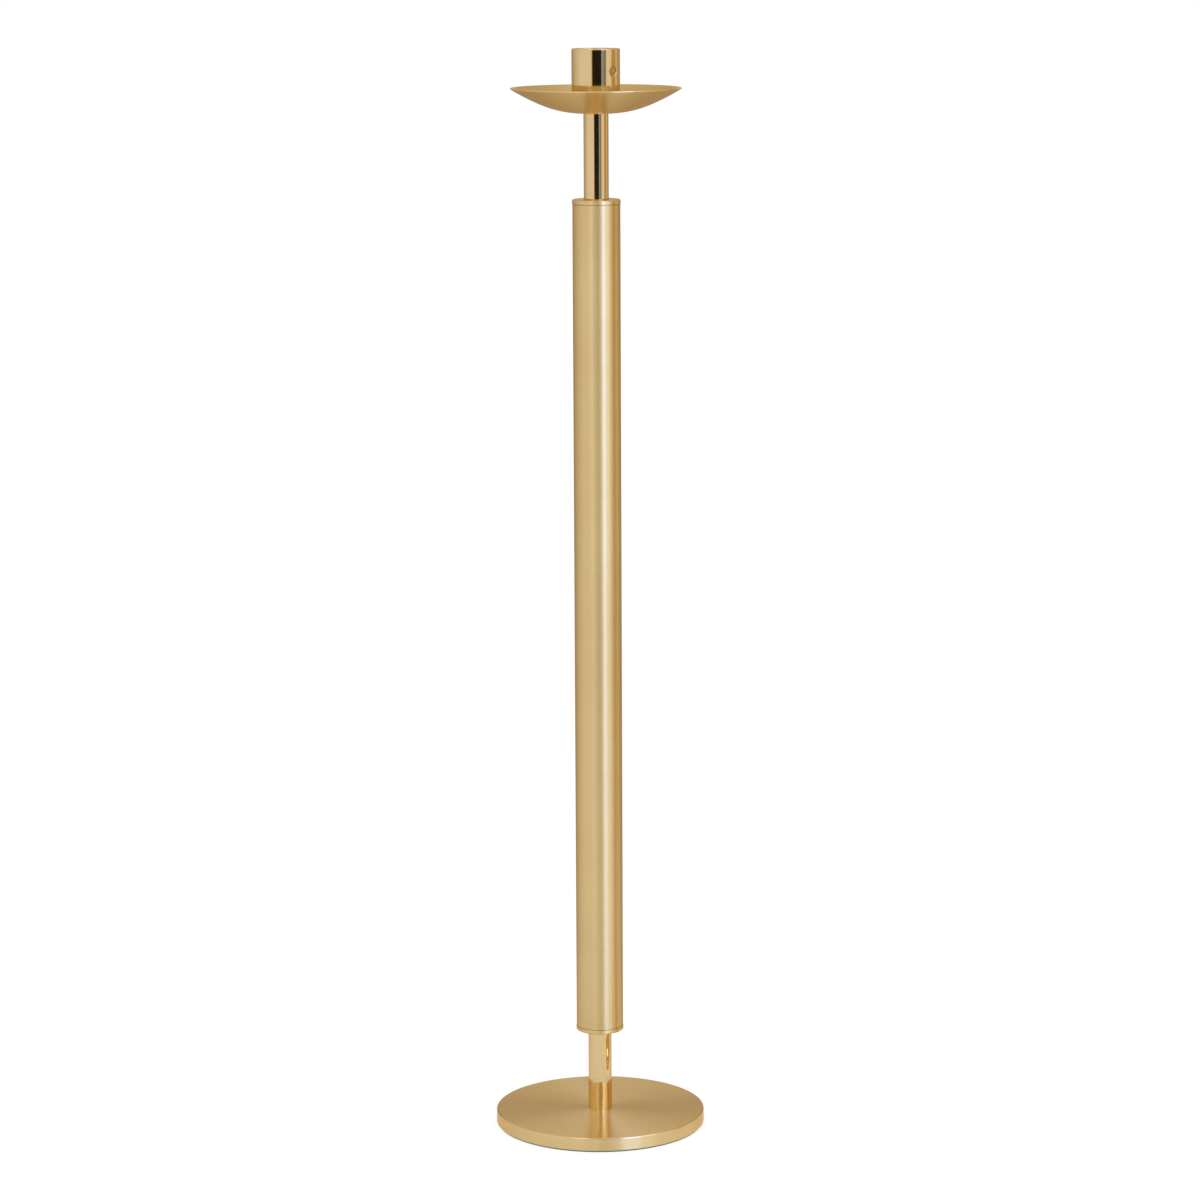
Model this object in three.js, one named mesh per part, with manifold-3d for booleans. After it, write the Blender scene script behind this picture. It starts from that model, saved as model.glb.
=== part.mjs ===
// Paschal candlestick: a heavy round base, a brushed column between two slim polished stems, a
// spun drip pan and a tubular candle socket, all clamped together by one tie rod.
// Millimetres, +Z up. The origin is the middle of the felt's underside, and the socket's side
// hole faces +X.
import * as THREE from "three";
import { mergeVertices } from "three/addons/utils/BufferGeometryUtils.js";
import Module from "manifold-3d";

// Clearances
const seatGap = 0.05; // between two faces that are clamped together
const slipGap = 0.3; // radial, between a spigot and the tube it centres
const rodGap = 0.3; // radial, between the tie rod and each bore
const panGap = 0.2; // between the foot of the socket and the curve of the pan

// Base
const baseDiameter = 215;
const baseWeb = 3; // brass left above the nut pocket
const baseTopRound = 1.5;
const baseBottomRound = 0.5;
const feltThickness = 1.5;
const feltInset = 1.5;

// Tie rod and its M10 fittings
const rodDiameter = 10;
const rodChamfer = 1;
const rodProud = 1.5; // how far the rod stands above the socket nut
const nutAcrossFlats = 17;
const nutHeight = 8;
const nutChamfer = 0.8;
const washerDiameter = 20;
const washerThickness = 2;
const lockWasherDiameter = 18;
const lockWasherThickness = 2.25;
const lockWasherSlit = 1.5;
const pocketDiameter = 24; // room for a box spanner
const pocketSlack = 0.5;

// Stems, lengths as seen between their neighbours
const lowerStemDiameter = 24;
const lowerStemLength = 84;
const upperStemDiameter = 25;
const upperStemLength = 85;
const stemWall = 1.5;
const bushHeight = 10;

// Column and its end caps
const columnDiameter = 48;
const columnWall = 1.5;
const columnLength = 848;
const capOverhang = 0.3; // the caps stand out past the column
const capHeight = 4.4;
const capRound = 1.2;
const capStemSpigot = 8;
const capColumnSpigot = 12;
const spigotChamfer = 1;

// Drip pan, spun from sheet: a flat seat, a bowl curve and a flatter flare to the rim
const panDiameter = 171;
const panWall = 1.2;
const panBowlRadius = 109;
const panBowlReach = 54; // distance from the axis where the bowl curve ends
const panFlareRadius = 215;
const panRimChamfer = 0.3;

// Candle socket
const socketDiameter = 48.2;
const socketWall = 1.7;
const socketLength = 61.8;
const socketRimRound = 0.6;
const sideHoleDiameter = 10;
const sideHoleDrop = 22; // from the rim down to the middle of the side hole
const plugWeb = 3; // brass left below the nut pocket

// Facets
const wideSides = 80;
const tubeSides = 60;
const smallSides = 24;
const bowlSteps = 5;
const flareSteps = 3;
const roundSteps = 3;

// Sizes that follow from the others
const boreRadius = rodDiameter / 2 + rodGap;
const basePocket = washerThickness + nutHeight + pocketSlack;
const baseThickness = baseWeb + basePocket;
const plugPocket = lockWasherThickness + nutHeight + rodProud + pocketSlack;
const plugHeight = plugWeb + plugPocket;
const panSeatRadius = upperStemDiameter / 2;
const panRise = panRiseAt(socketDiameter / 2);

// Heights above the floor, worked up the stack
const zBase = feltThickness + seatGap;
const zLowerStem = zBase + baseThickness + seatGap;
const zFootCap = zLowerStem + lowerStemLength + seatGap;
const zColumn = zFootCap + capHeight + seatGap;
const zHeadCap = zColumn + columnLength + seatGap;
const zUpperStem = zHeadCap + capHeight + seatGap;
const zPan = zUpperStem + upperStemLength + seatGap;
const zPlug = zPan + panWall + seatGap;
const zSocket = zPlug + panRise + panGap;
const zBaseWasher = zBase + basePocket - seatGap - washerThickness;
const zBaseNut = zBaseWasher - seatGap - nutHeight;
const zLockWasher = zPlug + plugWeb + seatGap;
const zSocketNut = zLockWasher + lockWasherThickness + seatGap;
const zRodTop = zSocketNut + nutHeight + rodProud;

const wasm = await Module();
wasm.setup();

// How far the pan's upper face has risen at a distance from the axis, within the bowl curve.
function panRiseAt(r) {
  const radius = panBowlRadius - panWall;
  const run = Math.max(0, r - panSeatRadius);
  return radius - Math.sqrt(radius ** 2 - run ** 2);
}

// Points [r, z] along an arc about a centre, with angles in radians from the outward direction.
function arc(centreR, centreZ, radius, from, to, steps) {
  return Array.from({ length: steps + 1 }, (_, i) => {
    const angle = from + ((to - from) * i) / steps;
    return [centreR + radius * Math.cos(angle), centreZ + radius * Math.sin(angle)];
  });
}

// Turns an outline of [r, z] points about the Z axis. An outline that leaves the axis ends on it,
// and any other closes on itself. Points run anticlockwise with r to the right and z up.
function revolve(outline, sides = tubeSides) {
  const onAxis = outline[0][0] === 0;
  const closed = onAxis ? outline : [...outline, outline[0]];
  const points = closed.map(([r, z]) => new THREE.Vector2(r, z));
  return new THREE.LatheGeometry(points, sides).rotateX(Math.PI / 2);
}

// Outline of a plain tube or ring that stands on z = 0.
function ring(inner, outer, height) {
  return [
    [inner, 0],
    [outer, 0],
    [outer, height],
    [inner, height],
  ];
}

function toSolid(geometry) {
  const bare = geometry.clone();
  bare.deleteAttribute("normal");
  bare.deleteAttribute("uv");
  const merged = mergeVertices(bare);
  const mesh = new wasm.Mesh({
    numProp: 3,
    vertProperties: merged.attributes.position.array,
    triVerts: new Uint32Array(merged.index.array),
  });
  return new wasm.Manifold(mesh);
}

function toGeometry(solid) {
  const mesh = solid.getMesh();
  const geometry = new THREE.BufferGeometry();
  geometry.setAttribute("position", new THREE.BufferAttribute(mesh.vertProperties, 3));
  geometry.setIndex(new THREE.BufferAttribute(mesh.triVerts, 1));
  geometry.computeVertexNormals();
  return geometry;
}

function feltPad() {
  const radius = baseDiameter / 2 - feltInset;
  const outline = [
    [0, 0],
    [radius, 0],
    [radius, feltThickness],
    [0, feltThickness],
  ];
  return revolve(outline, wideSides);
}

// A thick disc with a soft upper edge, bored for the rod and pocketed below for its nut.
function basePlate() {
  const radius = baseDiameter / 2;
  const pocket = pocketDiameter / 2;
  const lower = radius - baseBottomRound;
  const upper = radius - baseTopRound;
  const shoulder = baseThickness - baseTopRound;
  const outline = [
    [boreRadius, basePocket],
    [pocket, basePocket],
    [pocket, 0],
    ...arc(lower, baseBottomRound, baseBottomRound, -Math.PI / 2, 0, 2),
    ...arc(upper, shoulder, baseTopRound, 0, Math.PI / 2, roundSteps),
    [boreRadius, baseThickness],
  ];
  return revolve(outline, wideSides);
}

function tieRod() {
  const radius = rodDiameter / 2;
  const length = zRodTop - zBaseNut;
  const outline = [
    [0, 0],
    [radius - rodChamfer, 0],
    [radius, rodChamfer],
    [radius, length - rodChamfer],
    [radius - rodChamfer, length],
    [0, length],
  ];
  return revolve(outline, smallSides);
}

// A hexagon nut with its corners turned off at both faces.
function hexNut() {
  const flat = nutAcrossFlats / 2;
  const corner = flat / Math.cos(Math.PI / 6);
  const hexagon = new THREE.Shape();
  for (let i = 0; i < 6; i++) {
    const angle = (i * Math.PI) / 3;
    const x = corner * Math.cos(angle);
    const y = corner * Math.sin(angle);
    if (i === 0) hexagon.moveTo(x, y);
    else hexagon.lineTo(x, y);
  }
  hexagon.closePath();
  hexagon.holes.push(new THREE.Path().absarc(0, 0, boreRadius, 0, 2 * Math.PI, true));
  const blank = new THREE.ExtrudeGeometry(hexagon, {
    depth: nutHeight,
    bevelEnabled: false,
    curveSegments: smallSides / 2,
  });
  const turned = revolve([
    [0, 0],
    [flat, 0],
    [flat + 2 * nutChamfer, nutChamfer],
    [flat + 2 * nutChamfer, nutHeight - nutChamfer],
    [flat, nutHeight],
    [0, nutHeight],
  ]);
  return toGeometry(toSolid(blank).intersect(toSolid(turned)));
}

// A spring washer: a flat ring with a narrow slit.
function lockWasher() {
  const outer = lockWasherDiameter / 2;
  const outerTurn = Math.asin(lockWasherSlit / 2 / outer);
  const innerTurn = Math.asin(lockWasherSlit / 2 / boreRadius);
  const shape = new THREE.Shape();
  shape.absarc(0, 0, outer, outerTurn, 2 * Math.PI - outerTurn, false);
  shape.absarc(0, 0, boreRadius, 2 * Math.PI - innerTurn, innerTurn, true);
  shape.closePath();
  return new THREE.ExtrudeGeometry(shape, {
    depth: lockWasherThickness,
    bevelEnabled: false,
    curveSegments: smallSides / 2,
  });
}

function stem(diameter, length) {
  return revolve(ring(diameter / 2 - stemWall, diameter / 2, length));
}

// Centres the end of a stem on the rod.
function bush(stemDiameter) {
  return revolve(ring(boreRadius, stemDiameter / 2 - stemWall - slipGap, bushHeight));
}

// A turned cap that closes the column. Its rim shows between column and stem, and it has one
// spigot in each. The outline runs from the stem's side, at z = 0, into the column.
function capOutline(stemDiameter) {
  const rim = columnDiameter / 2 + capOverhang;
  const inColumn = columnDiameter / 2 - columnWall - slipGap;
  const inStem = stemDiameter / 2 - stemWall - slipGap;
  const top = capHeight + capColumnSpigot;
  return [
    [boreRadius, -capStemSpigot],
    [inStem - spigotChamfer, -capStemSpigot],
    [inStem, spigotChamfer - capStemSpigot],
    [inStem, 0],
    ...arc(rim - capRound, capRound, capRound, -Math.PI / 2, 0, roundSteps),
    [rim, capHeight],
    [inColumn, capHeight],
    [inColumn, top - spigotChamfer],
    [inColumn - spigotChamfer, top],
    [boreRadius, top],
  ];
}

function footCap() {
  return revolve(capOutline(lowerStemDiameter));
}

// The same cap the other way up, with its face on the column at z = 0.
function headCap() {
  const turned = capOutline(upperStemDiameter).map(([r, z]) => [r, capHeight - z]);
  return revolve(turned.reverse());
}

function columnTube() {
  const radius = columnDiameter / 2;
  return revolve(ring(radius - columnWall, radius, columnLength));
}

// The pan's two faces are arcs about the same centres, one wall apart.
function dripPan() {
  const bowlTurn = Math.asin((panBowlReach - panSeatRadius) / panBowlRadius);
  const flareCentreR = panSeatRadius - (panFlareRadius - panBowlRadius) * Math.sin(bowlTurn);
  const flareCentreZ = panBowlRadius + (panFlareRadius - panBowlRadius) * Math.cos(bowlTurn);
  const rimTurn = Math.asin((panDiameter / 2 - flareCentreR) / panFlareRadius);
  const chamferTurn = panRimChamfer / panFlareRadius;
  const down = -Math.PI / 2;
  const flareEnd = down + rimTurn - chamferTurn;
  const face = (inset) => [
    ...arc(panSeatRadius, panBowlRadius, panBowlRadius - inset, down, down + bowlTurn, bowlSteps),
    ...arc(
      flareCentreR,
      flareCentreZ,
      panFlareRadius - inset,
      down + bowlTurn,
      flareEnd,
      flareSteps,
    ).slice(1),
  ];
  const rimPoint = (inset) => [
    flareCentreR + (panFlareRadius - inset) * Math.sin(rimTurn),
    flareCentreZ - (panFlareRadius - inset) * Math.cos(rimTurn),
  ];
  const outline = [
    [boreRadius, 0],
    ...face(0),
    rimPoint(panRimChamfer),
    rimPoint(panWall - panRimChamfer),
    ...face(panWall).reverse(),
    [boreRadius, panWall],
  ];
  return revolve(outline, wideSides);
}

// The socket's floor, set inside its tube, with a pocket for the nut. Its underside is relieved
// outside the seat, so that it clears the curve of the pan.
function socketPlug() {
  const radius = socketDiameter / 2 - socketWall - slipGap;
  const pocket = pocketDiameter / 2;
  const outline = [
    [boreRadius, 0],
    [Math.min(panSeatRadius, radius - spigotChamfer), 0],
    [radius, panRise + panGap],
    [radius, plugHeight],
    [pocket, plugHeight],
    [pocket, plugWeb],
    [boreRadius, plugWeb],
  ];
  return revolve(outline);
}

// An open tube with a rounded rim and one hole through its wall towards +X.
function socketTube() {
  const outer = socketDiameter / 2;
  const inner = outer - socketWall;
  const shoulder = socketLength - socketRimRound;
  const tube = revolve([
    [inner, 0],
    [outer, 0],
    ...arc(outer - socketRimRound, shoulder, socketRimRound, 0, Math.PI / 2, roundSteps),
    ...arc(inner + socketRimRound, shoulder, socketRimRound, Math.PI / 2, Math.PI, roundSteps),
  ]);
  const drill = new THREE.CylinderGeometry(
    sideHoleDiameter / 2,
    sideHoleDiameter / 2,
    socketDiameter,
    2 * smallSides,
  );
  drill.rotateZ(Math.PI / 2).translate(socketDiameter / 2 + inner / 2, 0, socketLength - sideHoleDrop);
  return toGeometry(toSolid(tube).subtract(toSolid(drill)));
}

const finishes = {
  satinBrass: { color: 0xc8a46a, roughness: 0.38, metalness: 1 },
  polishedBrass: { color: 0xd2ab68, roughness: 0.08, metalness: 1 },
  steel: { color: 0xb4b6b8, roughness: 0.35, metalness: 1 },
  felt: { color: 0x4c8873, roughness: 0.95, metalness: 0 },
};

// One named piece, standing at a height above the floor.
function piece(name, geometry, finish, z) {
  const mesh = new THREE.Mesh(geometry, new THREE.MeshStandardMaterial(finishes[finish]));
  mesh.name = name;
  mesh.position.z = z;
  return mesh;
}

function baseAssembly() {
  const washer = revolve(ring(boreRadius, washerDiameter / 2, washerThickness), 2 * smallSides);
  return new THREE.Group().add(
    piece("felt_pad", feltPad(), "felt", 0),
    piece("base_plate", basePlate(), "satinBrass", zBase),
    piece("base_washer", washer, "steel", zBaseWasher),
    piece("base_nut", hexNut(), "steel", zBaseNut),
    piece("tie_rod", tieRod(), "steel", zBaseNut),
  );
}

function columnAssembly() {
  const lowerStem = stem(lowerStemDiameter, lowerStemLength);
  const upperStem = stem(upperStemDiameter, upperStemLength);
  const zUpperBush = zUpperStem + upperStemLength - bushHeight;
  return new THREE.Group().add(
    piece("lower_stem", lowerStem, "polishedBrass", zLowerStem),
    piece("lower_stem_bush", bush(lowerStemDiameter), "steel", zLowerStem),
    piece("column_foot_cap", footCap(), "satinBrass", zFootCap),
    piece("column_tube", columnTube(), "satinBrass", zColumn),
    piece("column_head_cap", headCap(), "satinBrass", zHeadCap),
    piece("upper_stem", upperStem, "polishedBrass", zUpperStem),
    piece("upper_stem_bush", bush(upperStemDiameter), "steel", zUpperBush),
  );
}

function topAssembly() {
  return new THREE.Group().add(
    piece("drip_pan", dripPan(), "satinBrass", zPan),
    piece("socket_plug", socketPlug(), "satinBrass", zPlug),
    piece("socket_tube", socketTube(), "polishedBrass", zSocket),
    piece("socket_lock_washer", lockWasher(), "steel", zLockWasher),
    piece("socket_nut", hexNut(), "steel", zSocketNut),
  );
}

const candlestick = new THREE.Group();
candlestick.name = "paschal_candlestick";
candlestick.add(baseAssembly(), columnAssembly(), topAssembly());

export default candlestick;
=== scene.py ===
import math

import bmesh
import bpy
from mathutils import Matrix, Vector


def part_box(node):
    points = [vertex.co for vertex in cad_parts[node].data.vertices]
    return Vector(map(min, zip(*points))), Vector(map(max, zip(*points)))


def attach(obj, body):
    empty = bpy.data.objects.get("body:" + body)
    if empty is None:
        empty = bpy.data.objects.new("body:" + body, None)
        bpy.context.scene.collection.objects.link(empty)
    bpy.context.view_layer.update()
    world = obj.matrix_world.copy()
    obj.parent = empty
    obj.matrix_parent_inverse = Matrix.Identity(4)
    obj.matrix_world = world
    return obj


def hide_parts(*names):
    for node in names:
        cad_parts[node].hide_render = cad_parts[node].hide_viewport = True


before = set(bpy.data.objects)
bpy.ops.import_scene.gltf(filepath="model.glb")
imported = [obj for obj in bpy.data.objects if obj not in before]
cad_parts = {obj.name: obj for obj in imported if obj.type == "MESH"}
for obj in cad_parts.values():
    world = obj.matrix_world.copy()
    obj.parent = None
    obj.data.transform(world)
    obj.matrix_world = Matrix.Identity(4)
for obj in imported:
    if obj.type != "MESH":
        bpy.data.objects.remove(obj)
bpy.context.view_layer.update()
print("frame loaded:", len(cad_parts), "nodes")

mm = 0.001
tiny = 0.00002  # how close a vertex must be to count as on a ring
mergeBelow = 0.000002  # vertices nearer than this become one
cornerTurn = 35  # degrees: where faces turn more sharply, turned metal keeps its corner
photoSide = 44  # degrees round from -Y to the side that the camera stands on


# small helps for work at the bench

def deselectAll():
    bpy.ops.object.select_all(action="DESELECT")


def settlePlace():
    bpy.ops.object.transform_apply(location=True, rotation=True, scale=True)


def reach(node):
    low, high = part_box(node)
    return low.z, high.z, high.x  # foot, top and radius of a turned part


def towards(turn):
    # level direction from the axis, turn degrees to the camera's right
    angle = math.radians(photoSide + turn)
    return Vector((math.sin(angle), -math.cos(angle), 0))


def nameIt(name):
    piece = bpy.context.active_object
    piece.name = name
    piece.data.name = name
    return piece


def turnBlank(name, radius, foot, top, sides):
    # a bar end in the chuck: a cylinder at its size and place, left in edit mode
    deselectAll()
    bpy.ops.mesh.primitive_cylinder_add(
        vertices=sides, radius=radius, depth=top - foot, location=(0, 0, (foot + top) / 2))
    settlePlace()
    piece = nameIt(name)
    bpy.ops.object.mode_set(mode="EDIT")
    return piece


def meshInHand():
    return bmesh.from_edit_mesh(bpy.context.object.data)


def pickFaces(wanted):
    bpy.ops.mesh.select_mode(type="FACE")
    bpy.ops.mesh.select_all(action="DESELECT")
    shape = meshInHand()
    for face in shape.faces:
        face.select_set(wanted(face))
    bmesh.update_edit_mesh(bpy.context.object.data)


def pickEdges(wanted):
    bpy.ops.mesh.select_mode(type="EDGE")
    bpy.ops.mesh.select_all(action="DESELECT")
    shape = meshInHand()
    for edge in shape.edges:
        if wanted(edge):
            edge.select_set(True)
    bmesh.update_edit_mesh(bpy.context.object.data)


def pickDiscs(*heights):
    # flat ends, which are centred on the axis
    def wanted(face):
        middle = face.calc_center_median()
        return middle.xy.length < tiny and any(abs(middle.z - z) < tiny for z in heights)
    pickFaces(wanted)


def pickRings(*rings):
    def onRing(vertex, radius, z):
        return abs(vertex.co.z - z) < tiny and abs(vertex.co.xy.length - radius) < tiny

    def wanted(edge):
        return any(all(onRing(vertex, *ring) for vertex in edge.verts) for ring in rings)
    pickEdges(wanted)


def insetDisc(z, fromRadius, toRadius):
    # the inset is measured square to the flats, and the radius to the corners
    pickDiscs(z)
    shape = meshInHand()
    sides = max(len(face.verts) for face in shape.faces if face.select)
    bpy.ops.mesh.inset(thickness=(fromRadius - toRadius) * math.cos(math.pi / sides))


def pullDisc(z, rise):
    pickDiscs(z)
    bpy.ops.mesh.extrude_region_move(TRANSFORM_OT_translate={"value": (0, 0, rise)})


def easePicked(size, segments):
    bpy.ops.mesh.bevel(offset=size, segments=segments, profile=0.5, affect="EDGES")


def easeEdge(radius, z, size, segments):
    pickRings((radius, z))
    easePicked(size, segments)


def boreThrough(radius, low, high):
    pickDiscs(low, high)
    bpy.ops.mesh.delete(type="FACE")
    pickRings((radius, low), (radius, high))
    bpy.ops.mesh.bridge_edge_loops()


def tidyMesh():
    bpy.ops.mesh.select_all(action="SELECT")
    bpy.ops.mesh.remove_doubles(threshold=mergeBelow)
    bpy.ops.mesh.normals_make_consistent(inside=False)


def applyModifier(piece, kind, **settings):
    deselectAll()
    piece.select_set(True)
    bpy.context.view_layer.objects.active = piece
    modifier = piece.modifiers.new(kind.title(), kind)
    for key, value in settings.items():
        setattr(modifier, key, value)
    bpy.ops.object.modifier_apply(modifier=modifier.name)


def cutWith(piece, tool):
    applyModifier(piece, "BOOLEAN", object=tool, operation="DIFFERENCE", solver="EXACT")
    bpy.data.objects.remove(tool)


def smoothPiece(smoothTo):
    # out of edit mode, smooth except at the true corners
    tidyMesh()
    bpy.ops.object.mode_set(mode="OBJECT")
    bpy.ops.object.shade_smooth_by_angle(angle=math.radians(smoothTo))


def finishTurning(piece):
    smoothPiece(cornerTurn)
    applyModifier(piece, "WEIGHTED_NORMAL", mode="FACE_AREA", weight=100, keep_sharp=True)


def fitPiece(piece, material, node):
    piece.data.materials.clear()
    piece.data.materials.append(material)
    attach(piece, "root")
    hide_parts(node)


# finishes

class Finish:
    # a node material with a few words for the moves that repeat
    def __init__(self, name):
        self.material = bpy.data.materials.new(name)
        self.material.use_nodes = True
        self.nodes = self.material.node_tree.nodes
        self.links = self.material.node_tree.links
        self.shader = self.nodes["Principled BSDF"]
        place = self.add("ShaderNodeTexCoord")
        centred = self.add("ShaderNodeMapping")
        self.links.new(place.outputs["Object"], centred.inputs["Vector"])
        self.place = centred.outputs["Vector"]

    def add(self, kind, **settings):
        node = self.nodes.new(kind)
        for key, value in settings.items():
            setattr(node, key, value)
        return node

    def feed(self, value, node, name):
        # an output is linked and a plain value is set
        if isinstance(value, bpy.types.NodeSocket):
            self.links.new(value, node.inputs[name])
        else:
            node.inputs[name].default_value = value

    def maths(self, sort, first, second=0.0):
        node = self.add("ShaderNodeMath", operation=sort)
        self.feed(first, node, 0)
        self.feed(second, node, 1)
        return node.outputs[0]

    def mixed(self, first, second, share):
        # a share of the first and the rest of the second
        return self.maths("ADD",
            self.maths("MULTIPLY", first, share), self.maths("MULTIPLY", second, 1 - share))

    def vector(self, sort, first, second=(0, 0, 0), output=0):
        node = self.add("ShaderNodeVectorMath", operation=sort)
        self.feed(first, node, 0)
        self.feed(second, node, 1)
        return node.outputs[output]

    def scaled(self, vector, amount):
        node = self.add("ShaderNodeVectorMath", operation="SCALE")
        self.feed(vector, node, 0)
        self.feed(amount, node, "Scale")
        return node.outputs[0]

    def noise(self, vector, scale, detail=2.0, rough=0.5, depth=None):
        node = self.add("ShaderNodeTexNoise", noise_dimensions="3D" if depth is None else "4D")
        self.feed(vector, node, "Vector")
        self.feed(scale, node, "Scale")
        self.feed(detail, node, "Detail")
        self.feed(rough, node, "Roughness")
        if depth is not None:
            self.feed(depth, node, "W")
        return node.outputs["Fac"]

    def spread(self, value, low, high, fromLow=0.3, fromHigh=0.7):
        node = self.add("ShaderNodeMapRange")
        self.feed(value, node, "Value")
        ends = {"From Min": fromLow, "From Max": fromHigh, "To Min": low, "To Max": high}
        for key, number in ends.items():
            node.inputs[key].default_value = number
        return node.outputs["Result"]

    def blend(self, amount, first, second):
        node = self.add("ShaderNodeMix", data_type="RGBA")
        self.feed(amount, node, "Factor")
        self.feed(first, node, 6)
        self.feed(second, node, 7)
        return node.outputs[2]

    def bump(self, height, strength, depth, before=None):
        node = self.add("ShaderNodeBump")
        node.inputs["Strength"].default_value = strength
        node.inputs["Distance"].default_value = depth
        self.feed(height, node, "Height")
        if before is not None:
            self.feed(before, node, "Normal")
        return node.outputs["Normal"]

    def set(self, **values):
        for key, value in values.items():
            self.feed(value, self.shader, key.replace("_", " "))


def turnedMarks(finish, arcs, pitch):
    # marks that run round the axis: noise that changes slowly along an arc and fast across it
    level = finish.vector("MULTIPLY", finish.place, (1, 1, 0))
    radius = finish.vector("LENGTH", level, output=1)
    around = finish.scaled(finish.vector("NORMALIZE", level), arcs)
    height = finish.scaled(finish.vector("MULTIPLY", finish.place, (0, 0, 1)), 1 / pitch)
    across = finish.maths("MULTIPLY", radius, 1 / pitch)
    marks = finish.vector("ADD", around, height)
    return finish.noise(marks, 1.0, detail=3.0, rough=0.6, depth=across)


brassTones = {
    "plain": ((0.698, 0.522, 0.258, 1), (0.658, 0.480, 0.226, 1)),  # bright, deep
    "warm": ((0.695, 0.505, 0.215, 1), (0.662, 0.470, 0.188, 1)),
    # a lighter copy of the brass for the plate's top face: painted light, brighter than the same
    # metal on its side
    "paintedLitTop": ((0.925, 0.712, 0.362, 1), (0.890, 0.674, 0.330, 1)),
    "tarnish": (0.360, 0.190, 0.060, 1),
    "grazing": (0.94, 0.80, 0.58, 1),  # keeps its colour where it is seen edge on
}

satinLooks = {
    "column": {
        "tone": "plain", "roughness": 0.36, "along": 0.98,
        "arcs": 2.2, "pitch": 0.34 * mm, "bump": 0.16,
    },
    "cap": {
        "tone": "plain", "roughness": 0.33, "along": 0.97,
        "arcs": 2.6, "pitch": 0.26 * mm, "bump": 0.16,
    },
    "base": {
        "tone": "plain", "roughness": 0.30, "along": 0.98,
        "arcs": 3.0, "pitch": 0.30 * mm, "bump": 0.08,
    },
    "baseTop": {
        "tone": "paintedLitTop", "roughness": 0.25, "along": 0.98,
        "arcs": 3.0, "pitch": 0.30 * mm, "bump": 0.03,
    },
    "pan": {
        "tone": "warm", "roughness": 0.25, "along": 0.97,
        "arcs": 3.2, "pitch": 0.32 * mm, "bump": 0.05,
    },
}

# what all the satin pieces share: fine marks, softer ones under them, and clouds of tone
satinGrain = {
    "depth": 0.012 * mm, "fineSpread": (0.92, 1.08), "softSpread": (-0.05, 0.05),
    "softArcs": 0.6, "softPitch": 6, "cloud": 14.0, "cloudShare": 0.55, "tones": (0.38, 0.62),
}

# the joints where the column meets its caps gather a thin dark line, fainter at the foot
jointLine = {"foot": 0.10, "head": 0.38, "dark": 0.30 * mm, "clean": 0.75 * mm}


def nearJoint(finish):
    # strongest in the joint lines, 0 on the clean metal
    height = finish.add("ShaderNodeSeparateXYZ")
    finish.feed(finish.place, height, "Vector")
    lines = []
    for z, depth in zip(reach("column_tube"), (jointLine["foot"], jointLine["head"])):
        gap = finish.maths("ABSOLUTE", finish.maths("SUBTRACT", height.outputs["Z"], z))
        lines.append(finish.spread(gap, depth, 0, jointLine["dark"], jointLine["clean"]))
    return finish.maths("MAXIMUM", *lines)


def satinBrass(name, look):
    grain = satinGrain
    finish = Finish(name)
    fine = turnedMarks(finish, look["arcs"], look["pitch"])
    soft = turnedMarks(
        finish, look["arcs"] * grain["softArcs"], look["pitch"] * grain["softPitch"])
    cloud = finish.noise(finish.place, grain["cloud"])
    tone = finish.mixed(cloud, soft, grain["cloudShare"])
    bright, deep = brassTones[look["tone"]]
    clean = finish.blend(finish.spread(tone, 0, 1, *grain["tones"]), deep, bright)
    finish.set(Base_Color=finish.blend(nearJoint(finish), clean, brassTones["tarnish"]))
    uneven = finish.maths("ADD",
        finish.spread(fine, *grain["fineSpread"]), finish.spread(soft, *grain["softSpread"]))
    finish.set(Metallic=1.0, Roughness=finish.maths("MULTIPLY", uneven, look["roughness"]))
    finish.set(Anisotropic=look["along"], Anisotropic_Rotation=0.25)
    finish.set(Specular_Tint=brassTones["grazing"])
    lay = finish.add("ShaderNodeTangent", direction_type="RADIAL", axis="Z")
    finish.set(Tangent=lay.outputs["Tangent"])
    finish.set(Normal=finish.bump(fine, look["bump"], grain["depth"]))
    return finish.material


polishedLook = {
    "bright": (0.680, 0.508, 0.266, 1), "deep": (0.655, 0.484, 0.248, 1),
    "roughness": (0.05, 0.08), "arcs": 2.0, "pitch": 0.2 * mm,
    "hairline": 0.10, "hairDepth": 0.002 * mm,
    "swirl": 40.0, "stretch": (1, 1, 1), "ripple": 0.002 * mm,
}
# the lower stem's shine is a little uneven, more round the tube than along it
handPolishedLook = {
    **polishedLook, "swirl": 130.0, "stretch": (2.4, 2.4, 1), "ripple": 0.18 * mm,
}


def polishedBrass(name, look):
    finish = Finish(name)
    buffed = turnedMarks(finish, look["arcs"], look["pitch"])
    stretched = finish.vector("MULTIPLY", finish.place, look["stretch"])
    swirl = finish.noise(stretched, look["swirl"])
    finish.set(Base_Color=finish.blend(finish.spread(swirl, 0, 1), look["deep"], look["bright"]))
    finish.set(Metallic=1.0, Roughness=finish.spread(buffed, *look["roughness"]))
    finish.set(Specular_Tint=brassTones["grazing"])
    ripple = finish.bump(swirl, 1.0, look["ripple"])
    finish.set(Normal=finish.bump(buffed, look["hairline"], look["hairDepth"], ripple))
    return finish.material


drawnLook = {
    "clean": (0.930, 0.680, 0.240, 1), "brown": (0.820, 0.560, 0.170, 1), "patch": 120.0,
    "metal": 0.25, "roughness": (0.42, 0.58),
    "scores": 1400.0, "stretch": (1, 1, 0.05), "bump": 0.3, "depth": 0.02 * mm,
}


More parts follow.
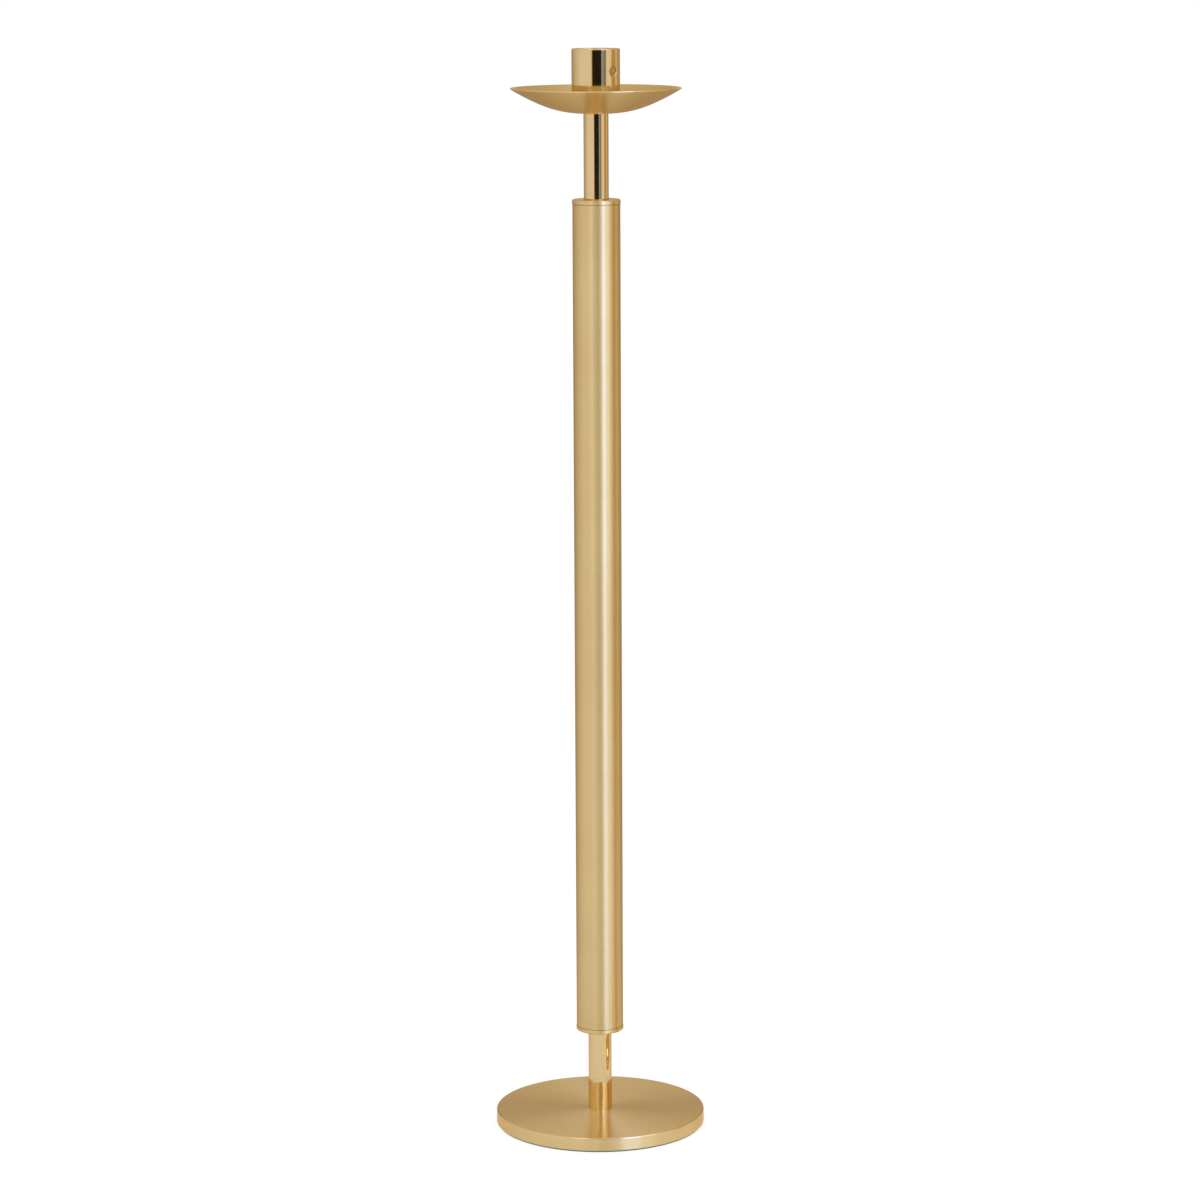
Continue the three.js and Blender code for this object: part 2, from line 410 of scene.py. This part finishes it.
def drawnBrass(name, look):
    # the inside of a tube, left as it came from the draw bench
    finish = Finish(name)
    scores = finish.noise(
        finish.vector("MULTIPLY", finish.place, look["stretch"]), look["scores"], detail=3.0)
    patch = finish.noise(finish.place, look["patch"], detail=3.0)
    finish.set(Base_Color=finish.blend(finish.spread(patch, 0, 1), look["brown"], look["clean"]))
    finish.set(Metallic=look["metal"], Roughness=finish.spread(scores, *look["roughness"]))
    finish.set(Normal=finish.bump(scores, look["bump"], look["depth"]))
    return finish.material


zincLook = {
    "bright": (0.62, 0.64, 0.66, 1), "dull": (0.47, 0.48, 0.49, 1), "patch": 160.0,
    "warm": (0.66, 0.63, 0.52, 1), "warmPatch": 90.0, "warmShare": 0.35, "warmFrom": (0.45, 0.7),
    "grain": 900.0, "roughness": (0.26, 0.42), "bump": 0.15, "depth": 0.02 * mm,
}


def zincSteel(name, look):
    finish = Finish(name)
    grain = finish.noise(finish.place, look["grain"], detail=3.0)
    patch = finish.noise(finish.place, look["patch"])
    plated = finish.blend(finish.spread(patch, 0, 1), look["dull"], look["bright"])
    warmth = finish.spread(
        finish.noise(finish.place, look["warmPatch"], detail=1.0),
        0, look["warmShare"], *look["warmFrom"])
    finish.set(Base_Color=finish.blend(warmth, plated, look["warm"]), Metallic=1.0)
    finish.set(Roughness=finish.spread(grain, *look["roughness"]))
    finish.set(Normal=finish.bump(grain, look["bump"], look["depth"]))
    return finish.material


feltLook = {
    "light": (0.110, 0.470, 0.330, 1), "dark": (0.050, 0.300, 0.210, 1), "tones": (0.38, 0.62),
    "sweep": 0.35, "fibre": 2600.0, "fibreRough": 0.7, "fibreShare": 0.6, "tuft": 420.0,
    "roughness": 0.95, "gloss": 0.2, "sheen": 0.25, "sheenRoughness": 0.6,
    "bump": 0.7, "depth": 0.25 * mm,
}


def woolFelt(name, look):
    finish = Finish(name)
    swept = finish.vector("ADD", finish.place, finish.scaled(finish.place, look["sweep"]))
    fibre = finish.noise(swept, look["fibre"], detail=4.0, rough=look["fibreRough"])
    tuft = finish.noise(finish.place, look["tuft"], detail=3.0)
    wool = finish.mixed(fibre, tuft, look["fibreShare"])
    tone = finish.spread(wool, 0, 1, *look["tones"])
    finish.set(Base_Color=finish.blend(tone, look["dark"], look["light"]))
    finish.set(Roughness=look["roughness"], Specular_IOR_Level=look["gloss"])
    finish.set(Sheen_Weight=look["sheen"], Sheen_Roughness=look["sheenRoughness"])
    finish.set(Normal=finish.bump(wool, look["bump"], look["depth"]))
    return finish.material


satinColumn = satinBrass("satin_column", satinLooks["column"])
satinCap = satinBrass("satin_cap", satinLooks["cap"])
satinBase = satinBrass("satin_base", satinLooks["base"])
satinBaseTop = satinBrass("satin_base_top_painted_light", satinLooks["baseTop"])
satinPan = satinBrass("satin_pan", satinLooks["pan"])
mirrorBrass = polishedBrass("mirror_brass", polishedLook)
handPolished = polishedBrass("hand_polished_brass", handPolishedLook)
tubeInside = drawnBrass("tube_inside", drawnLook)
zincPlate = zincSteel("zinc_plate", zincLook)
greenFelt = woolFelt("green_felt", feltLook)
print("finishes made")


# the base plate, with its pocket for the nut

rodBore = 5.3 * mm
plate = {
    "sides": 256, "topRound": 1.5 * mm, "footRound": 0.5 * mm,
    "pocket": 12 * mm, "pocketDepth": 10.5 * mm,
    "upright": 0.20, "flat": 0.97,  # how far up a face looks: on the side, and on the top
}

foot, top, radius = reach("base_plate")
basePlate = turnBlank("BasePlate", radius, foot, top, plate["sides"])
easeEdge(radius, top, plate["topRound"], segments=8)
easeEdge(radius, foot, plate["footRound"], segments=4)
insetDisc(top, radius - plate["topRound"], rodBore)
insetDisc(foot, radius - plate["footRound"], plate["pocket"])
pullDisc(foot, plate["pocketDepth"])
insetDisc(foot + plate["pocketDepth"], plate["pocket"], rodBore)
boreThrough(rodBore, foot + plate["pocketDepth"], top)
finishTurning(basePlate)
fitPiece(basePlate, satinBase, "base_plate")
basePlate.data.materials.append(mirrorBrass)  # both rounded edges are buffed bright
# the top face takes the lighter copy of the brass, which paints light onto it
basePlate.data.materials.append(satinBaseTop)
for face in basePlate.data.polygons:
    onEdge = face.center.xy.length > radius - plate["topRound"]
    if onEdge and plate["upright"] < abs(face.normal.z) < plate["flat"]:
        face.material_index = 1
    elif face.normal.z > plate["flat"] and face.center.z > top - tiny:
        face.material_index = 2

# the felt under it

pad = {
    "sides": 256, "edge": 0.35 * mm, "rings": 5, "ringStep": 3 * mm,
    "fluff": 0.12 * mm, "fluffSize": 2.5 * mm, "smoothTo": 50,
}

foot, top, radius = reach("felt_pad")
feltPad = turnBlank("FeltPad", radius, foot, top, pad["sides"])
easeEdge(radius, top, pad["edge"], segments=3)
easeEdge(radius, foot, pad["edge"], segments=3)
for step in range(pad["rings"]):
    start = radius - pad["edge"] - step * pad["ringStep"]
    for z in (foot, top):
        insetDisc(z, start, start - pad["ringStep"])
smoothPiece(pad["smoothTo"])
fluff = bpy.data.textures.new("felt_fluff", "CLOUDS")
fluff.noise_scale = pad["fluffSize"]
applyModifier(feltPad, "DISPLACE", texture=fluff, strength=pad["fluff"], mid_level=0.5)
fitPiece(feltPad, greenFelt, "felt_pad")
print("base made")


# both stems and the column

tubes = {
    "lower_stem": {
        "name": "LowerStem", "sides": 192, "wall": 1.5 * mm, "edge": 0.15 * mm,
        "finish": handPolished, "slot": "polished_brass",
    },
    "upper_stem": {
        "name": "UpperStem", "sides": 192, "wall": 1.5 * mm, "edge": 0.15 * mm,
        "finish": mirrorBrass, "slot": "polished_brass",
    },
    "column_tube": {
        "name": "ColumnTube", "sides": 256, "wall": 1.5 * mm, "edge": 0.45 * mm,
        "finish": satinColumn, "slot": "column_brass",
    },
}


def drawTube(name, sides, inner, foot, top, radius):
    # left in edit mode, with square ends
    tube = turnBlank(name, radius, foot, top, sides)
    for z in (foot, top):
        insetDisc(z, radius, inner)
    boreThrough(inner, foot, top)
    return tube


for node, size in tubes.items():
    foot, top, radius = reach(node)
    tube = drawTube(size["name"], size["sides"], radius - size["wall"], foot, top, radius)
    for z in (foot, top):
        easeEdge(radius, z, size["edge"], segments=3)
    finishTurning(tube)
    fitPiece(tube, size["finish"], node)

# the column's caps, with a spigot each way

cap = {
    "sides": 256, "height": 4.4 * mm, "round": 1.2 * mm, "lip": 0.3 * mm, "chamfer": 1 * mm,
    "columnSpigot": 12 * mm, "columnFit": 22.2 * mm, "stemSpigot": 8 * mm,
    "lowerStemFit": 10.2 * mm, "upperStemFit": 10.7 * mm,
}


def turnCap(node, name, stemFit, columnSide):
    # columnSide is 1 where the column stands on the cap and -1 where the cap closes its top
    foot, top, radius = reach(node)
    stemEnd = foot if columnSide > 0 else top
    near = stemEnd + columnSide * cap["stemSpigot"]  # the face on the stem
    far = near + columnSide * cap["height"]  # the face on the column
    columnEnd = far + columnSide * cap["columnSpigot"]
    piece = turnBlank(name, radius, min(near, far), max(near, far), cap["sides"])
    easeEdge(radius, near, cap["round"], segments=6)
    easeEdge(radius, far, cap["lip"], segments=2)
    insetDisc(near, radius - cap["round"], stemFit)
    pullDisc(near, stemEnd - near)
    insetDisc(far, radius - cap["lip"], cap["columnFit"])
    pullDisc(far, columnEnd - far)
    easeEdge(stemFit, stemEnd, cap["chamfer"], segments=1)
    easeEdge(cap["columnFit"], columnEnd, cap["chamfer"], segments=1)
    insetDisc(stemEnd, stemFit - cap["chamfer"], rodBore)
    insetDisc(columnEnd, cap["columnFit"] - cap["chamfer"], rodBore)
    boreThrough(rodBore, stemEnd, columnEnd)
    finishTurning(piece)
    fitPiece(piece, satinCap, node)


turnCap("column_foot_cap", "ColumnFootCap", cap["lowerStemFit"], 1)
turnCap("column_head_cap", "ColumnHeadCap", cap["upperStemFit"], -1)
print("stems, column and caps made")


# the drip pan, spun from sheet: a bowl that runs into a flatter flare

pan = {
    "sides": 256, "wall": 1.2 * mm, "seat": 12.5 * mm, "bowl": 109 * mm, "bowlReach": 54 * mm,
    "flare": 215 * mm, "diameter": 171 * mm, "bowlRings": 14, "flareRings": 10,
    "rimEase": 0.25 * mm, "rimZone": 3 * mm, "corner": 1.0,  # a corner's least turn in radians
    "dressed": 0.8, "outwards": 0.62,  # share of the wall that is dressed, least outward look
}


def panRings(size, foot):
    seat, bowl, flare = size["seat"], size["bowl"], size["flare"]
    bowlTurn = math.asin((size["bowlReach"] - seat) / bowl)
    centreOut = seat - (flare - bowl) * math.sin(bowlTurn)
    centreUp = bowl + (flare - bowl) * math.cos(bowlTurn)
    rimTurn = math.asin((size["diameter"] / 2 - centreOut) / flare)
    rings = [(seat, foot)]
    for step in range(1, size["bowlRings"] + 1):
        turn = bowlTurn * step / size["bowlRings"]
        rings.append((seat + bowl * math.sin(turn), foot + bowl * (1 - math.cos(turn))))
    for step in range(1, size["flareRings"] + 1):
        turn = bowlTurn + (rimTurn - bowlTurn) * step / size["flareRings"]
        out = centreOut + flare * math.sin(turn)
        rings.append((out, foot + centreUp - flare * math.cos(turn)))
    return rings


def spinPan():
    foot = reach("drip_pan")[0]
    deselectAll()
    bpy.ops.mesh.primitive_circle_add(
        vertices=pan["sides"], radius=rodBore, fill_type="NOTHING", location=(0, 0, foot))
    settlePlace()
    piece = nameIt("DripPan")
    bpy.ops.object.mode_set(mode="EDIT")
    bpy.ops.mesh.select_all(action="SELECT")
    atRadius, atHeight = rodBore, foot
    for radius, z in panRings(pan, foot):
        bpy.ops.mesh.extrude_region_move(TRANSFORM_OT_translate={"value": (0, 0, z - atHeight)})
        grow = radius / atRadius
        bpy.ops.transform.resize(value=(grow, grow, 1), center_override=(0, 0, z))
        atRadius, atHeight = radius, z
    tidyMesh()
    shape = meshInHand()
    shape.faces.ensure_lookup_table()
    if shape.faces[0].normal.z > 0:  # the outside of the sheet looks down
        bpy.ops.mesh.flip_normals()
    bpy.ops.object.mode_set(mode="OBJECT")
    applyModifier(piece, "SOLIDIFY", thickness=pan["wall"], offset=-1, use_even_offset=True)
    return piece, atRadius


dripPan, rimRadius = spinPan()


def onRimCorner(edge):
    closed = len(edge.link_faces) == 2
    outside = edge.verts[0].co.xy.length > rimRadius - pan["rimZone"]
    return closed and outside and edge.calc_face_angle() > pan["corner"]


bpy.ops.object.mode_set(mode="EDIT")
pickEdges(onRimCorner)
easePicked(pan["rimEase"], segments=3)
finishTurning(dripPan)
fitPiece(dripPan, satinPan, "drip_pan")
dripPan.data.materials.append(mirrorBrass)  # the rim is dressed bright after spinning
for face in dripPan.data.polygons:
    middle = face.center
    facing = face.normal.dot(Vector((middle.x, middle.y, 0)).normalized())
    bevelAbove = facing > 0 and face.normal.z > 0
    atRim = middle.xy.length > rimRadius - pan["wall"] * pan["dressed"]
    if atRim and (facing > pan["outwards"] or bevelAbove):
        face.material_index = 1
print("drip pan made")


# the candle socket

socket = {
    "sides": 256, "wall": 1.7 * mm, "rim": 0.8 * mm, "footEase": 0.15 * mm,
    "hole": 10 * mm, "holeSides": 96, "holeDrop": 22 * mm,
    "reamDepth": 1.5 * mm, "reamRun": 0.4 * mm, "reamTip": 9.96 * mm, "reamSlope": 0.37,
}

foot, top, radius = reach("socket_tube")
inner = radius - socket["wall"]
socketTube = drawTube("SocketTube", socket["sides"], inner, foot, top, radius)
pickRings((radius, top), (inner, top))
easePicked(socket["rim"], segments=6)
easeEdge(radius, foot, socket["footEase"], segments=2)
finishTurning(socketTube)

holeUp = top - socket["holeDrop"]
acrossX = (0, math.pi / 2, 0)
deselectAll()
bpy.ops.mesh.primitive_cylinder_add(
    vertices=socket["holeSides"], radius=socket["hole"] / 2, depth=radius,
    location=(radius, 0, holeUp), rotation=acrossX)
cutWith(socketTube, nameIt("drill"))

# a taper reamer opens its mouth a little and takes the burr off; its tip is inside the hole
deepest = radius - socket["reamDepth"]
outermost = radius + socket["reamRun"]
tip = socket["reamTip"] / 2
deselectAll()
bpy.ops.mesh.primitive_cone_add(
    vertices=socket["holeSides"], radius1=tip,
    radius2=tip + (outermost - deepest) * socket["reamSlope"], depth=outermost - deepest,
    location=((deepest + outermost) / 2, 0, holeUp), rotation=acrossX)
cutWith(socketTube, nameIt("reamer"))

bpy.ops.object.mode_set(mode="EDIT")
finishTurning(socketTube)
fitPiece(socketTube, mirrorBrass, "socket_tube")
socketTube.data.materials.append(tubeInside)
for face in socketTube.data.polygons:
    middle = face.center
    if face.normal.xy.dot(middle.xy) < 0 and middle.xy.length < inner + tiny:
        face.material_index = 1

# its floor, with a pocket for the upper nut

plug = {
    "sides": 192, "pocket": 12 * mm, "pocketDepth": 12.25 * mm, "seat": 12.5 * mm,
    "edge": 0.3 * mm, "relief": 0.83 * mm,  # its underside rises with the pan's curve
}

foot, top, radius = reach("socket_plug")
socketPlug = turnBlank("SocketPlug", radius, foot, top, plug["sides"])
easeEdge(radius, top, plug["edge"], segments=2)
insetDisc(foot, radius, plug["seat"])
pickRings((radius, foot))
bpy.ops.transform.translate(value=(0, 0, plug["relief"]))
insetDisc(top, radius - plug["edge"], plug["pocket"])
pullDisc(top, -plug["pocketDepth"])
insetDisc(top - plug["pocketDepth"], plug["pocket"], rodBore)
insetDisc(foot, plug["seat"], rodBore)
boreThrough(rodBore, foot, top - plug["pocketDepth"])
finishTurning(socketPlug)
fitPiece(socketPlug, satinCap, "socket_plug")
print("socket made")


# fittings that keep their CAD shape

fittings = (
    "tie_rod", "base_nut", "base_washer", "lower_stem_bush", "upper_stem_bush",
    "socket_nut", "socket_lock_washer",
)
for node in fittings:
    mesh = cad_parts[node].data
    mesh.materials.clear()
    mesh.materials.append(zincPlate)
print("fittings finished")


# studio

studio = {
    "floorSize": 60.0, "floorGlow": 0.74, "floorTone": 0.36, "roomLight": 0.75,
    "wallBehind": (0.63, 0.55, 0.49, 1), "floorBehind": (0.48, 0.39, 0.32, 1),
    "fade": (-0.5, 1.35),  # where the room starts to darken behind the stand and where it ends
}


def mathNode(nodes, links, sort, *values):
    node = nodes.new("ShaderNodeMath")
    node.operation = sort
    for index, value in enumerate(values):
        if isinstance(value, bpy.types.NodeSocket):
            links.new(value, node.inputs[index])
        else:
            node.inputs[index].default_value = value
    return node.outputs[0]


def rayKinds(nodes, links):
    # 1 for what the camera and the metal see directly, 0 for light that falls on things
    light = nodes.new("ShaderNodeLightPath")
    seen = light.outputs["Is Camera Ray"]
    for kind in ("Is Glossy Ray", "Is Transmission Ray"):
        seen = mathNode(nodes, links, "MAXIMUM", seen, light.outputs[kind])
    return seen, light.outputs["Is Glossy Ray"]


def roomColour(nodes, links, vector, glossy, behind):
    # white to the camera; the metal sees it turn warmer and darker behind the stand
    away = nodes.new("ShaderNodeVectorMath")
    away.operation = "DOT_PRODUCT"
    away.inputs[1].default_value = -towards(0)
    links.new(vector, away.inputs[0])
    distance = nodes.new("ShaderNodeVectorMath")
    distance.operation = "LENGTH"
    links.new(vector, distance.inputs[0])
    atLeastOne = mathNode(nodes, links, "MAXIMUM", distance.outputs["Value"], 1.0)
    share = mathNode(nodes, links, "DIVIDE", away.outputs["Value"], atLeastOne)
    fade = nodes.new("ShaderNodeMapRange")
    fade.interpolation_type = "SMOOTHSTEP"
    links.new(share, fade.inputs["Value"])
    fade.inputs["From Min"].default_value, fade.inputs["From Max"].default_value = studio["fade"]
    amount = mathNode(nodes, links, "MULTIPLY", fade.outputs["Result"], glossy)
    tint = nodes.new("ShaderNodeMix")
    tint.data_type = "RGBA"
    links.new(amount, tint.inputs["Factor"])
    tint.inputs[6].default_value = (1, 1, 1, 1)
    tint.inputs[7].default_value = behind
    return tint.outputs[2]


def lightRoom():
    world = bpy.data.worlds.new("studio_room")
    world.use_nodes = True
    bpy.context.scene.world = world
    nodes, links = world.node_tree.nodes, world.node_tree.links
    place = nodes.new("ShaderNodeTexCoord").outputs["Generated"]
    seen, glossy = rayKinds(nodes, links)
    colour = roomColour(nodes, links, place, glossy, studio["wallBehind"])
    level = studio["roomLight"]
    strength = mathNode(nodes, links, "MULTIPLY_ADD", seen, 1.0 - level, level)
    links.new(colour, nodes["Background"].inputs["Color"])
    links.new(strength, nodes["Background"].inputs["Strength"])


def layFloor():
    deselectAll()
    bpy.ops.mesh.primitive_plane_add(size=studio["floorSize"], location=(0, 0, 0))
    floor = nameIt("floor")
    material = bpy.data.materials.new("pale_floor")
    material.use_nodes = True
    nodes, links = material.node_tree.nodes, material.node_tree.links
    nodes.remove(nodes["Principled BSDF"])
    place = nodes.new("ShaderNodeTexCoord").outputs["Object"]
    seen, glossy = rayKinds(nodes, links)
    colour = roomColour(nodes, links, place, glossy, studio["floorBehind"])
    tone = nodes.new("ShaderNodeVectorMath")
    tone.operation = "SCALE"
    tone.inputs["Scale"].default_value = studio["floorTone"]
    links.new(colour, tone.inputs[0])
    paper = nodes.new("ShaderNodeBsdfDiffuse")
    links.new(tone.outputs[0], paper.inputs["Color"])
    glow = nodes.new("ShaderNodeEmission")
    links.new(colour, glow.inputs["Color"])
    strength = mathNode(nodes, links, "MULTIPLY", seen, studio["floorGlow"])
    links.new(strength, glow.inputs["Strength"])
    both = nodes.new("ShaderNodeAddShader")
    links.new(paper.outputs[0], both.inputs[0])
    links.new(glow.outputs[0], both.inputs[1])
    links.new(both.outputs[0], nodes["Material Output"].inputs["Surface"])
    floor.data.materials.append(material)


# boards that stand round the set, seen only in the metal: turns in degrees to the camera's
# right, distance, bottom and top in metres, colour
cards = {
    "door_frame": ((-19.5, -15.5), 2.6, (0.70, 1.20), (0.40, 0.25, 0.11)),
    "dark_doorway": ((-15.5, 26.5), 2.6, (0.70, 1.20), (0.022, 0.018, 0.012)),
    "dark_tripod": ((0, 11), 2.6, (0.0, 0.70), (0.38, 0.29, 0.16)),
    "cool_screen": ((26.5, 35), 2.4, (0.70, 1.15), (0.38, 0.53, 0.76)),
    "brown_screen": ((35, 50), 2.4, (0.70, 1.12), (0.36, 0.31, 0.27)),
    "window": ((28, 44), 2.5, (1.20, 4.8), (2.1, 3.0, 6.4)),
    "window_side": ((44, 68), 2.5, (1.20, 4.8), (1.75, 1.95, 2.5)),
    "low_window": ((22, 44), 2.5, (0.02, 0.66), (2.5, 3.3, 6.2)),
    "low_window_side": ((44, 62), 2.5, (0.02, 0.66), (1.7, 1.9, 2.5)),
    "high_softbox": ((-40, -16), 2.4, (2.6, 3.7), (3.6, 4.0, 5.0)),
    # the second stand's column and stem glow in their lit colours: a painted reflection, not lamps
    "gold_column": ((77.5, 88), 0.24, (0.10, 1.105), (0.76, 0.46, 0.09)),
    "gold_stem": ((78, 86), 0.24, (0.015, 0.10), (0.85, 0.52, 0.14)),
    "back_screen": ((140, 220), 2.4, (0.0, 1.15), (0.470, 0.425, 0.420)),
    "dark_tan_screen": ((90, 104), 2.2, (0.0, 2.4), (0.56, 0.44, 0.26)),
    "light_tan_screen": ((104, 121), 2.2, (0.0, 2.4), (0.86, 0.74, 0.54)),
    "umber_screen": ((121, 146), 2.2, (0.0, 2.4), (0.62, 0.50, 0.34)),
}

# flat rounds just above the floor, like the base of a second stand beside this one, glowing in its
# lit colours with a painted glint on its rim and top: turn, distance, height, radius, colour
roundSides = 96
rounds = {
    "gold_rim_glint": (82, 0.24, 0.0145, 0.1085, (1.5, 1.45, 1.2)),
    "gold_plate": (82, 0.24, 0.0150, 0.0985, (0.70, 0.43, 0.12)),
    "plate_glint": (78, 0.205, 0.0155, 0.014, (3.2, 3.0, 2.4)),
}

# the soft lamp above: where it hangs, its width, its power and the height that it aims at
overhead = {
    "turn": -20, "away": 0.4, "up": 2.9, "size": 1.8,
    "power": 12, "colour": (1.0, 0.98, 0.95), "aimAt": 0.55,
}


def hideBoard(board, colour):
    # seen only in the metal: no part in the picture, the shadows or the light on the floor
    paint = bpy.data.materials.new(board.name)
    paint.use_nodes = True
    nodes = paint.node_tree.nodes
    nodes.remove(nodes["Principled BSDF"])
    glow = nodes.new("ShaderNodeEmission")
    glow.inputs["Color"].default_value = (*colour, 1)
    paint.node_tree.links.new(glow.outputs[0], nodes["Material Output"].inputs["Surface"])
    board.data.materials.append(paint)
    board.visible_camera = False
    board.visible_diffuse = False
    board.visible_shadow = False


def standCards():
    for name, ((left, right), away, (bottom, top), colour) in cards.items():
        out = towards((left + right) / 2)
        width = 2 * away * math.tan(math.radians(right - left) / 2)
        deselectAll()
        bpy.ops.mesh.primitive_plane_add(
            size=1, location=out * away + Vector((0, 0, (bottom + top) / 2)),
            rotation=(math.pi / 2, 0, math.atan2(out.y, out.x) + math.pi / 2))
        board = nameIt(name)
        board.scale = (width, top - bottom, 1)
        settlePlace()
        hideBoard(board, colour)


def layRounds():
    for name, (turn, away, up, radius, colour) in rounds.items():
        deselectAll()
        bpy.ops.mesh.primitive_circle_add(
            vertices=roundSides, radius=radius, fill_type="NGON",
            location=towards(turn) * away + Vector((0, 0, up)))
        hideBoard(nameIt(name), colour)


def hangLamp():
    lamp = bpy.data.lights.new("overhead", "AREA")
    lamp.shape = "RECTANGLE"
    lamp.size = lamp.size_y = overhead["size"]
    lamp.energy = overhead["power"]
    lamp.color = overhead["colour"]
    holder = bpy.data.objects.new("overhead", lamp)
    bpy.context.scene.collection.objects.link(holder)
    holder.location = towards(overhead["turn"]) * overhead["away"] + Vector((0, 0, overhead["up"]))
    aim = Vector((0, 0, overhead["aimAt"])) - holder.location
    holder.rotation_euler = aim.to_track_quat("-Z", "Y").to_euler()
    holder.visible_camera = False
    holder.visible_glossy = False  # the bright metal sees the room and the boards alone


lightRoom()
layFloor()
standCards()
layRounds()
hangLamp()
print("studio set")


# camera, fitted to the outlines in the photograph

view = {
    "away": 3.87035, "up": 1.23634, "aside": 0.000337, "lens": 116.052, "sensor": 36,
    "down": 10.0579, "pan": 0.0239, "roll": -0.2474,
}


def setCamera():
    camera = bpy.data.objects.new("camera", bpy.data.cameras.new("camera"))
    bpy.context.scene.collection.objects.link(camera)
    camera.data.lens = view["lens"]
    camera.data.sensor_width = view["sensor"]
    spot = towards(0) * view["away"] + towards(90) * view["aside"] + Vector((0, 0, view["up"]))
    turn = Matrix.Rotation(math.radians(photoSide - view["pan"]), 4, "Z")
    tilt = Matrix.Rotation(math.radians(90 - view["down"]), 4, "X")
    roll = Matrix.Rotation(math.radians(view["roll"]), 4, "Z")
    camera.matrix_world = Matrix.Translation(spot) @ turn @ tilt @ roll
    bpy.context.scene.camera = camera


setCamera()
bpy.context.scene.view_settings.view_transform = "Standard"
